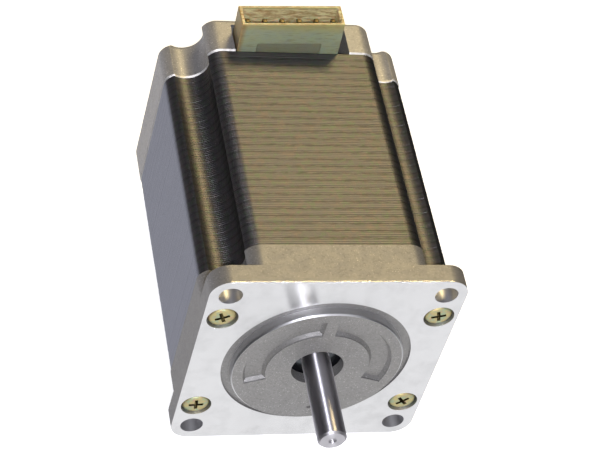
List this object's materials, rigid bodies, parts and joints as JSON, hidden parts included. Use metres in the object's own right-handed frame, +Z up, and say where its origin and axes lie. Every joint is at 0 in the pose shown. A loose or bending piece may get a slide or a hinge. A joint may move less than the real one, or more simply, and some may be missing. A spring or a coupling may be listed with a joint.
{
  "type": "stepper motor",
  "caption": "Hybrid stepper motor: laminated body between die-cast end caps, square mounting flange with round pilot, plain output shaft, and a pin header on the rear cap.",
  "frame": {"origin": "centre of the flange's mounting face, on the shaft axis", "axes": "-Y along the output shaft, away from the body; +Y along the body to the rear cap; +Z up, the side that the header stands on; +X to the right seen from the shaft's end"},
  "size_m": [0.0564, 0.0966, 0.0655],
  "materials": {
    "cast_front_cap": "die-cast, flange face turned bright, cast grey in the pilot's recesses",
    "cast_rear_cap": "die-cast, fine blasted skin",
    "laminated_steel": "stacked silicon steel sheets with a dull brown oxide",
    "frame_plastic": "moulded, off-white",
    "liner_film": "amber insulating film",
    "copper_winding": "enamelled copper wire, wound in layers",
    "tinned_pin": "tin-plated, satin",
    "board_laminate": "glass-epoxy laminate with green solder mask",
    "header_nylon": "aged natural nylon, slightly translucent",
    "bearing_steel": "ground and polished",
    "shield_steel": "pressed sheet, satin",
    "cage_steel": "pressed sheet",
    "spring_steel": "tempered, satin",
    "zinc_screw": "yellow zinc plated",
    "shaft_steel": "ground, bright",
    "rotor_steel": "stacked silicon steel, ground outside",
    "magnet_alloy": "sintered, ground faces",
    "spacer_alloy": "turned"
  },
  "bodies": {
    "housing": {"front_cap": "cast_front_cap", "rear_cap": "cast_rear_cap", "stator_core": "laminated_steel", "front_insulator": "frame_plastic", "rear_insulator": "frame_plastic", "slot_liners": "liner_film", "coil_1": "copper_winding", "coil_2": "copper_winding", "coil_3": "copper_winding", "coil_4": "copper_winding", "coil_5": "copper_winding", "coil_6": "copper_winding", "coil_7": "copper_winding", "coil_8": "copper_winding", "winding_terminals": "tinned_pin", "circuit_board": "board_laminate", "connector_housing": "header_nylon", "connector_pins": "tinned_pin", "front_bearing_outer_ring": "bearing_steel", "front_bearing_shields": "shield_steel", "rear_bearing_outer_ring": "bearing_steel", "rear_bearing_shields": "shield_steel", "wave_washer": "spring_steel", "tie_screws": "zinc_screw"},
    "rotor": {"shaft": "shaft_steel", "rotor_cup_1": "rotor_steel", "rotor_cup_2": "rotor_steel", "rotor_cup_3": "rotor_steel", "rotor_cup_4": "rotor_steel", "rotor_magnet_1": "magnet_alloy", "rotor_magnet_2": "magnet_alloy", "rotor_spacer": "spacer_alloy", "front_bearing_inner_ring": "bearing_steel", "rear_bearing_inner_ring": "bearing_steel"},
    "front_cage": {"front_bearing_cage": "cage_steel", "front_bearing_balls": "bearing_steel"},
    "rear_cage": {"rear_bearing_cage": "cage_steel", "rear_bearing_balls": "bearing_steel"}
  },
  "joints": [
    {"name": "rotor_spin", "type": "hinge", "parent": "housing", "child": "rotor", "pos_m": [0, 0, 0], "axis": [0, -1, 0], "continuous": true},
    {"name": "front_cage_orbit", "type": "hinge", "parent": "housing", "child": "front_cage", "pos_m": [0, 0.00349, 0], "axis": [0, -1, 0], "continuous": true},
    {"name": "rear_cage_orbit", "type": "hinge", "parent": "housing", "child": "rear_cage", "pos_m": [0, 0.07099, 0], "axis": [0, -1, 0], "continuous": true}
  ],
  "couplings": [
    {"joint": "front_cage_orbit", "follows": "rotor_spin", "ratio": 0.3929},
    {"joint": "rear_cage_orbit", "follows": "rotor_spin", "ratio": 0.3929}
  ]
}
